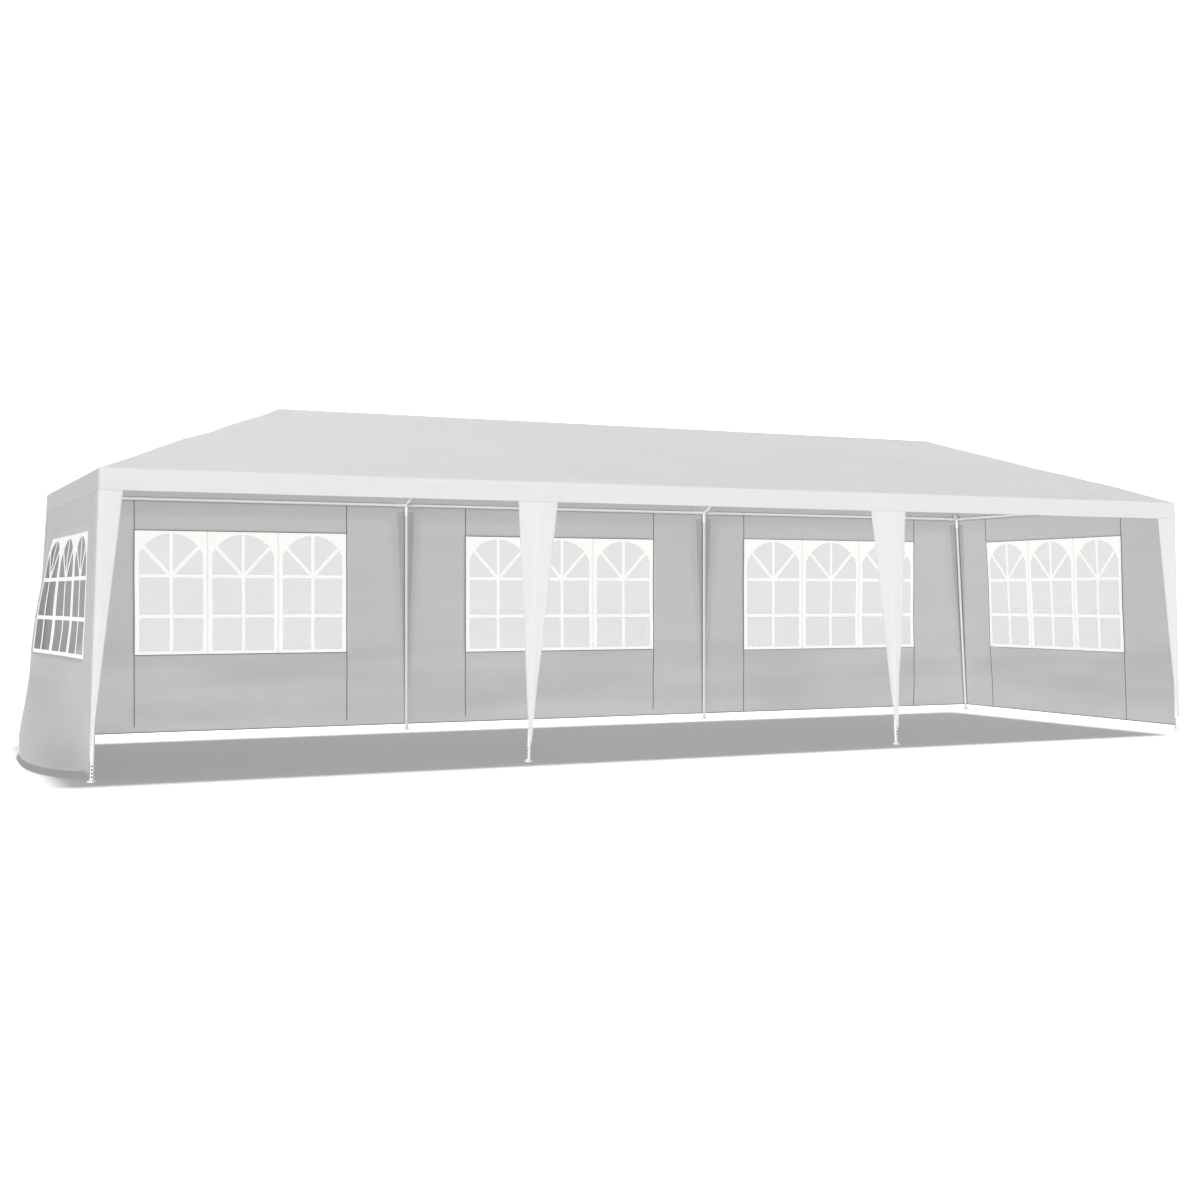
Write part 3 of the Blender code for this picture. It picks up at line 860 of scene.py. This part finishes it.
def panePrint(place, centre, bottom, top, half):
    # A pane's white print: the border, one upright, two level bars and two rays to the arch.
    radius = half * window["archShare"]
    archZ = top - window["archDrop"] - radius
    hub, lower = (bottom + (top - bottom) * window[key] for key in ("hubShare", "lowerShare"))
    inside, tuck = half - window["border"] * 0.6, window["uprightTuck"]
    angle, lift = radians(window["ray"]), hub - archZ
    reach = sqrt(radius**2 - (lift * cos(angle)) ** 2) - lift * sin(angle) + window["rayTuck"]
    lines = [((0, bottom + tuck), (0, archZ + radius + tuck))]
    lines += [((-inside, z), (inside, z)) for z in (lower, hub)]
    lines += [((0, hub), (way * reach * cos(angle), hub + reach * sin(angle))) for way in (-1, 1)]
    low, high = (walls["middle"] + way * window["printThickness"] / 2 for way in (-1, 1))
    parts = [paneFrame(place, centre, bottom, top, half, radius, archZ, low, high)]
    for k, line in enumerate(lines, 1):
        inset = 0.00006 * k  # bars that cross lie a hair deeper than each other
        ends = np.add(line, (centre, 0))
        parts.append(bar(place, *ends, window["bar"], low + inset, high - inset))
    return parts


def flatPiece(name, parts, finish, slot):
    return addPiece(name, putMesh(name, parts, smooth=False), finishes[finish], slot)


def makeWindow(name, place, left, right):
    # The clear film over the opening, its printed bars, and the dark seams on the inner face, which
    # are partly seam tape and partly painted shade of the seams, with a painted shade line along
    # the hem.
    centre, wide, bottom, head = windowSizes[name]
    near, far, lap = centre - wide / 2, centre + wide / 2, window["filmLap"]
    p = np.linspace(near - lap, far + lap, stepsOver(wide))
    z = np.linspace(bottom - lap, head + lap, stepsOver(head - bottom))[:, None]
    points, looks = place(p, z, walls["middle"]), (finishes["clearFilm"], "clear_sheet")
    film = sheetPiece("windowFilm_" + name, points, {"metres": stacked(p, z)},
                      window["filmThickness"], *looks, [f"window_{name}"])
    parts, pane = [], wide / window["panes"]
    half = (pane - window["gap"]) / 2
    for k in range(window["panes"]):
        parts += panePrint(place, near + pane * (k + 0.5), bottom, head, half)
    printed = flatPiece("windowPrint_" + name, parts, "windowPrint", "clear_sheet")
    low, high = window["seamDepths"]
    kind = "heavyLines" if name in ("rear_left", "rear_middle") else "fineLines"
    width, foot = window[kind]
    top = tent["clothTop"] - window["seamTop"]
    parts = [bar(place, (p, foot), (p, top), window["seam"], low, high) for p in (near, far)]
    for z in (head + window["lineOver"], bottom - window["lineUnder"]):
        parts.append(bar(place, (near, z), (far, z), width, low + 0.0001, high))
    # painted shade: a dark line along the hem, where the hem's shade falls
    if name != "left":
        hemZ = tent["wallBottom"] + walls["hemShadeLine"] / 2
        ends = [(float(side(hemZ)), hemZ) for side in (left, right)]
        parts.append(bar(place, *ends, walls["hemShadeLine"], low, high))
    return film, printed, flatPiece("wallSeams_" + name, parts, "seamTape", "wall_cloth")


def upright(p):
    # An edge or a leg that stands at one place, as a function of the height.
    return lambda z: p + 0 * z


def leaning(head, beyond=0.0):
    # One that follows a rear leg's axis, or runs so far beside it.
    return lambda z: legX("rear_" + head, z) + beyond


def makeWalls():
    # Each wall's surface, its two edges, and the legs whose strips hang behind it.
    lap, reach = tent["wallIn"] - 0.0003, halfWidth + tent["wallIn"] + 0.0025
    near, far = upright(-halfBay), upright(halfBay)
    first, second, third, fourth = (leaning(head) for head in heads)
    plans = {
        "rear_left": (rearWall, leaning("left", -lap), near, (first, second)),
        "rear_middle": (rearWall, near, far, (second, third)),
        "rear_right": (rearWall, far, leaning("right", lap), (third, fourth)),
    }
    # in front an end wall stops behind the leg, so that no cloth shows past it
    corners = (upright(-halfWidth), upright(halfWidth))
    for name, side in sideSigns.items():
        plans[name] = (endWall(side, 71 + side), corners[0], upright(reach), corners)
    return {
        name: (*makeWall(name, *plan), *makeWindow(name, *plan[:3])) for name, plan in plans.items()
    }


wallPieces = makeWalls()
print("walls and windows made")

# The steel frame: round tube with sleeved joints and plated feet.
steel = {
    "sides": 28,
    "sleeveLength": 0.095,
    "tubeStart": 0.04,  # how far from a joint's middle a tube ends inside its sleeve
    "lip": 0.0008,
    "button": 0.0032,
    "buttonAt": 0.068,
    "holes": (0.033, 0.056, 0.079, 0.102),
    "holeRadius": 0.0054,
    # how far the holes of a leg are turned to the left of its row's outer side, in degrees
    "holeTurns": {"front_left": 19, "front_mid_left": 62, "front_right": 70},
    "holeDepth": 0.03,  # from the leg's axis
    "wall": 0.0012,
    "bore": (0.026, 0.12),  # a leg is hollow between these heights
    "weld": 0.985,  # a joint's ball, as a share of its sleeves' radius
    "sharp": 38,  # degrees, from which an edge isn't shaded as round
    # height and radius, from the ground up to the tube
    "foot": (
        (0.0, 0.0298), (0.0005, 0.0307), (0.0013, 0.031), (0.0080, 0.031), (0.0093, 0.0305),
        (0.0102, 0.0290), (0.0108, 0.0235), (0.0114, 0.0200), (0.0124, 0.0178), (0.0138, 0.0162),
        (0.0158, 0.0150), (0.0185, 0.0140), (0.0220, 0.0133), (0.0260, 0.0130),
    ),
}


def sleeveParts(centre, way, level=False):
    # A sleeve from a joint's middle to its rolled mouth, with a spring button near the mouth.
    r, lip, long = tent["sleeveRadius"], steel["lip"], steel["sleeveLength"]
    way = np.asarray(way, float)
    way = way / (abs(way[2]) if level else np.linalg.norm(way))
    profile = [
        (0.0, r * 0.98), (long - 0.008, r), (long - 0.0065, r + lip * 0.7), (long - 0.004, r + lip),
        (long - 0.0012, r + lip * 0.6), (long, r - 0.0006), (long, tent["tubeRadius"] - 0.0002),
    ]
    parts = [roundBody(centre, way, profile, steel["sides"], level)]
    side = np.cross(way, (0, 1.0, 0) if abs(way[1]) < 0.7 else (1.0, 0, 0))
    side *= (-1 if side[2] > 0 else 1) / np.linalg.norm(side)
    spot, b = centre + way * steel["buttonAt"] + side * (r - 0.0012), steel["button"]
    dome = [(0, b), (0.0016, b), (0.0024, b * 0.86), (0.0031, b * 0.55), (0.0034, b * 0.12)]
    return [*parts, roundBody(spot, side, dome, 14)]


def legWay(place):
    # The way down a leg from its head, per metre of fall.
    head = legX(place, eaveZ)
    return np.array([(feet[place][0] - head) / eaveZ, 0, -1.0])


def jointParts(centre, ways, leg=None):
    # A round weld, as rings of a sphere from pole to pole, with a sleeve for each tube that
    # meets in it and for the leg below.
    radius = tent["sleeveRadius"] * steel["weld"]
    lift = np.linspace(-pi / 2 + 0.12, pi / 2 - 0.12, 13)
    profile = stacked(radius * np.sin(lift), radius * np.cos(lift))
    parts = [roundBody(centre, (0, 0, 1), profile, steel["sides"])]
    for way in ways:
        parts += sleeveParts(centre, way)
    return parts + sleeveParts(centre, legWay(leg), level=True) if leg else parts


def steelPiece(name, node, parts, kind):
    mesh = putMesh(name, parts, sharp=steel["sharp"])
    return addPiece(name, mesh, finishes[kind + "Steel"], kind + "_steel", [node])


def cutWith(piece, parts):
    # Takes closed bodies away from a piece.
    cutter = bpy.data.objects.new("cutter", putMesh("cutter", parts))
    scene.collection.objects.link(cutter)
    step = piece.modifiers.new("cut", "BOOLEAN")
    step.operation, step.solver, step.object = "DIFFERENCE", "EXACT", cutter
    graph = bpy.context.evaluated_depsgraph_get()
    mesh = bpy.data.meshes.new_from_object(piece.evaluated_get(graph))
    piece.modifiers.clear()
    old, piece.data = piece.data, mesh
    mesh.name = piece.name
    bpy.data.meshes.remove(old)
    bpy.data.objects.remove(cutter)


def makeLeg(place):
    # The foot's profile and the tube above it, round the leaning axis, bored and drilled.
    row = rowSigns[place.split("_")[0]]
    foot, up = np.array([feet[place][0], row * halfWidth, 0.0]), -legWay(place)
    tube, sides = tent["tubeRadius"], steel["sides"]
    inner, top = tube - steel["wall"], eaveZ - steel["tubeStart"]
    profile = [*steel["foot"], (0.13, tube), (0.6, tube), (1.2, tube), (top, tube)]
    body = roundBody(foot, up, profile, sides, level=True)
    piece = steelPiece("legTube_" + place, "leg_" + place, [body], "leg")
    bore = [(z, inner) for z in steel["bore"]]
    cutWith(piece, [roundBody(foot, up, bore, sides, level=True)])
    # the holes go through the outer side only, from the bore out
    turned = radians(steel["holeTurns"].get(place, 0))
    outward = (-sin(turned), row * cos(turned), 0)
    drill = [(z, steel["holeRadius"]) for z in (0, steel["holeDepth"])]
    cutWith(piece, [roundBody(foot + up * z, outward, drill, 18) for z in steel["holes"]])
    mesh = piece.data
    mesh.set_sharp_from_angle(angle=radians(steel["sharp"]))
    # the bore has no powder coat: faces nearer to the axis than the tube's inner wall
    mesh.materials.append(finishes["bareSteel"])
    x, y, z = faceVectors(mesh, "center").T
    away = np.hypot(x - legX(place, z), y - foot[1])
    bored = (away < inner + 0.0001) & (z > 0.02) & (z < 0.13)
    mesh.polygons.foreach_set("material_index", bored.astype(np.int32))


def straightTube(start, end, inset=0.0):
    # A tube between two joints' middles, from so far inside the one to so far inside the other.
    start, end, radius = np.array(start, float), np.array(end, float), tent["tubeRadius"]
    length = float(np.linalg.norm(end - start))
    way = (end - start) / length
    profile = [(at, radius) for at in (inset, length / 2, length - inset)]
    return roundBody(start, way, profile, steel["sides"])


def makeFrame():
    # Joint by joint; a long eave rail is three tubes in line with a joint over each middle leg.
    slope, inset = tent["slope"], steel["tubeStart"]
    for place in feet:
        makeLeg(place)
    for rowName, row in rowSigns.items():
        y = row * halfWidth
        parts = [straightTube((-halfLength, y, eaveZ), (halfLength, y, eaveZ), inset)]
        for head in ("mid_left", "mid_right"):
            ways = ((-1, 0, 0), (1, 0, 0), (0, -row, slope))
            parts += jointParts((heads[head], y, eaveZ), ways, f"{rowName}_{head}")
        steelPiece("eaveTube_" + rowName, "eave_rail_" + rowName, parts, "rail")
        for sideName, side in sideSigns.items():
            place, corner = f"{rowName}_{sideName}", (side * halfLength, y, eaveZ)
            ways = ((-side, 0, 0), (0, -row, 0), (-side, -row, slope))
            parts = jointParts(corner, ways, place)
            steelPiece("cornerJoint_" + place, "corner_joint_" + place, parts, "joint")
            parts = [straightTube(corner, (side * ridgeHalf, 0, ridgeZ), inset)]
            steelPiece("hipTube_" + place, "hip_rafter_" + place, parts, "rail")
            x = side * halfBay
            parts = [straightTube((x, y, eaveZ), (x, 0, ridgeZ), inset)]
            steelPiece("rafterTube_" + place, "rafter_" + place, parts, "rail")
    for sideName, side in sideSigns.items():
        ends = [(side * halfLength, y, eaveZ) for y in (-halfWidth, halfWidth)]
        parts = [straightTube(*ends, inset)]
        steelPiece("eaveTube_" + sideName, "eave_rail_" + sideName, parts, "rail")
    parts = [straightTube((-ridgeHalf, 0, ridgeZ), (ridgeHalf, 0, ridgeZ))]
    for side in (-1, 1):
        ways = ((0, -1, -slope), (0, 1, -slope), (-1, 0, 0), (1, 0, 0))
        parts += jointParts((side * halfBay, 0, ridgeZ), ways)
        ways = ((side, -1, -slope), (side, 1, -slope), (-side, 0, 0))
        parts += jointParts((side * ridgeHalf, 0, ridgeZ), ways)
    steelPiece("ridgeTube", "ridge_rail", parts, "rail")


makeFrame()
print("frame made")

# The sizes that the sheets were cut to: the cover's area and each strip's widths at top and tip,
# which nothing further uses.
slopeRun = coverReach * slant
coverArea = 2 * slopeRun * (2 * ridgeHalf + 2 * halfLength + 2 * tent["skirtOut"]) / 2
coverArea += coverReach * slopeRun * 2 + (4 * halfLength + 4 * halfWidth) * cover["valance"]
for place, piece in stripPieces.items():
    headName = place.split("_", 1)[1]
    widths = [2 * strips[end][headName] for end in ("halfTops", "halfTips")]
    if headName in sideSigns:
        widths = [w + 2 * strips["out"] for w in widths]

# Floor, light and camera.
studio = {
    "floorSize": 240.0,
    "floor": (213, 213, 213),
    "worldLight": 0.4,
    "backdrop": 1.45,  # as bright as the open floor, so that no horizon shows through the panes
}
# Each sun's strength as a share of white, its width, where it comes from (degrees to the right
# of the tent's front, and up), the pieces that it lights, and those that shade them.
suns = {
    "roofSun": (0.165, 12.0, 135.0, 74.0, "tent", "tent"),
    "frontSun": (0.43, 35.0, 20.0, 8.0, "cover", "tent"),
    "rearSun": (0.3, 30.0, 170.0, 15.0, "tent", "tent"),
    "wideFrontSun": (0.2, 60.0, 0.0, 8.0, "inside", "steel"),
    "wideSideSun": (0.275, 60.0, -80.0, 4.0, "cloth", "steel"),
    "trimSun": (0.74, 60.0, -45.0, 5.0, "trim", "steel"),
    "rearLegSun": (0.45, 60.0, -45.0, 5.0, "rearLegs", "steel"),
    "floorSun": (1.65, 8.0, 135.0, 78.0, "floor", "shade"),
    "shadeSun": (0.21, 60.0, 0.0, 60.0, "floor", "steel"),
}


def makeFloor():
    half = studio["floorSize"] / 2
    edge = np.linspace(-half, half, 9)
    x, y = np.meshgrid(edge, edge)
    mesh = putMesh("studioFloor", [(stacked(x, y, -0.0005), gridFaces(9, 9))])
    floor = bpy.data.objects.new("studioFloor", mesh)
    scene.collection.objects.link(floor)
    mesh.materials.append(plainMaterial("paleFloor", studio["floor"], 0.9, amount=0.01))
    floor.visible_diffuse = False  # the world lights the tent from below as from above
    return floor


def aimed(yaw, tilt):
    # From straight down: tilted up, and then turned round the upright axis.
    return Matrix.Rotation(yaw, 4, "Z") @ Matrix.Rotation(tilt, 4, "X")


def makeSun(name, strength, degrees, azimuth, height, lit, shading):
    # A sun whose strength is the share of white that it puts on a surface facing it.
    data = bpy.data.lights.new(name, "SUN")
    data.energy, data.angle = strength * pi, radians(degrees)
    light = bpy.data.objects.new(name, data)
    light.matrix_world = aimed(radians(azimuth), radians(90 - height))
    light.light_linking.receiver_collection = lightGroups[lit]
    light.light_linking.blocker_collection = lightGroups[shading]
    scene.collection.objects.link(light)


def makeLightGroups(floor):
    # The pieces that a sun may be kept to, by what their names begin with.
    steelNames = ("legTube", "eaveTube", "cornerJoint", "rafterTube", "hipTube", "ridgeTube")
    coverNames = ("tentCover", "strip_")
    starts = {
        "tent": ("",),
        "cover": coverNames,
        "cloth": (*coverNames, "wallCloth", "wallSeams"),
        "inside": (*coverNames, "wallCloth_r", "wallSeams_r"),  # the rear walls and the right one
        "shade": ("tentCover", "wallCloth_left"),
        "steel": steelNames,
        "trim": ("legTube_front", *steelNames[1:], "windowPrint"),
        "rearLegs": ("legTube_rear",),
    }
    groups = {"floor": bpy.data.collections.new("floorOnly")}
    groups["floor"].objects.link(floor)
    for name, begins in starts.items():
        groups[name] = bpy.data.collections.new(name + "Lights")
        for piece in scene.objects:
            if piece.type == "MESH" and piece != floor and piece.name.startswith(begins):
                groups[name].objects.link(piece)
    return groups


def makeWorld():
    # Even light from all round, with a brighter white where the camera looks past everything.
    world = bpy.data.worlds.new("studioWorld")
    scene.world = world
    world.use_nodes = True
    tree = world.node_tree
    tree.nodes.clear()
    light, white = (
        addNode(tree, "ShaderNodeBackground", {"Color": (1, 1, 1, 1), "Strength": studio[key]})
        for key in ("worldLight", "backdrop")
    )
    seen = addNode(tree, "ShaderNodeLightPath").outputs["Is Camera Ray"]
    mix = addNode(tree, "ShaderNodeMixShader", {0: seen, 1: light.outputs[0], 2: white.outputs[0]})
    addNode(tree, "ShaderNodeOutputWorld", {"Surface": mix.outputs[0]})


photoView = {"place": (-5.9182, -12.0306, 1.1761), "yaw": 0.4363, "pitch": -0.0020, "lens": 47.86}


def makeCamera():
    # The viewpoint that the legs, eaves and ridge of the photograph give.
    data = bpy.data.cameras.new("camera")
    data.lens, data.sensor_width = photoView["lens"], 36.0
    data.clip_end = 500.0
    camera = bpy.data.objects.new("camera", data)
    turn = aimed(-photoView["yaw"], pi / 2 + photoView["pitch"])
    camera.matrix_world = Matrix.Translation(photoView["place"]) @ turn
    scene.collection.objects.link(camera)
    scene.camera = camera


lightGroups = makeLightGroups(makeFloor())
for name, values in suns.items():
    makeSun(name, *values)
makeWorld()
makeCamera()
scene.view_settings.view_transform = "Standard"
print("studio made")

bpy.context.view_layer.update()
